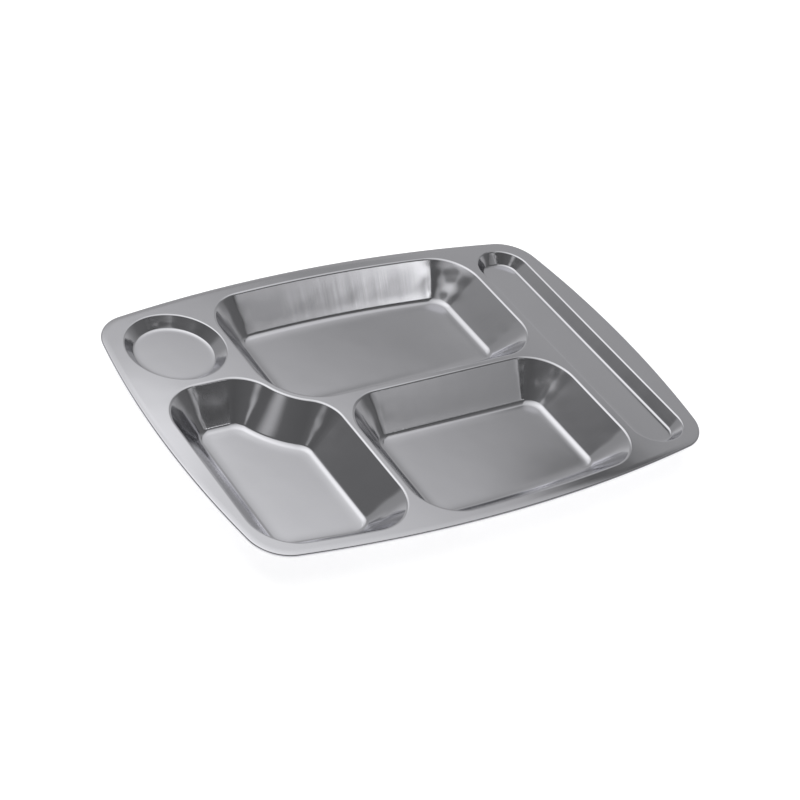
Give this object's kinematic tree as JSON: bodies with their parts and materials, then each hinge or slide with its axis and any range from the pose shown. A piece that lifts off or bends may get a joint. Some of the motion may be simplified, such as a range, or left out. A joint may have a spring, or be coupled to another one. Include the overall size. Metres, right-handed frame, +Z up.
{
  "type": "divided compartment plate",
  "caption": "Rounded stainless steel meal tray pressed with deep food wells, a round cup well and a long cutlery channel inside a folded hem.",
  "frame": {"origin": "under the middle of the tray's outline, on the surface that the deep wells rest on", "axes": "+X along the tray towards the cutlery channel, +Y towards the edge beside the main and cup wells, +Z up out of the wells"},
  "size_m": [0.395, 0.2828, 0.0257],
  "materials": {
    "pressed_sheet": "fine satin",
    "folded_edge": "bright satin"
  },
  "bodies": {
    "root": {"deck": "pressed_sheet", "rim_hem": "folded_edge", "main_well": "pressed_sheet", "left_well": "pressed_sheet", "centre_well": "pressed_sheet", "cup_well": "pressed_sheet", "cutlery_channel": "pressed_sheet"}
  },
  "joints": []
}
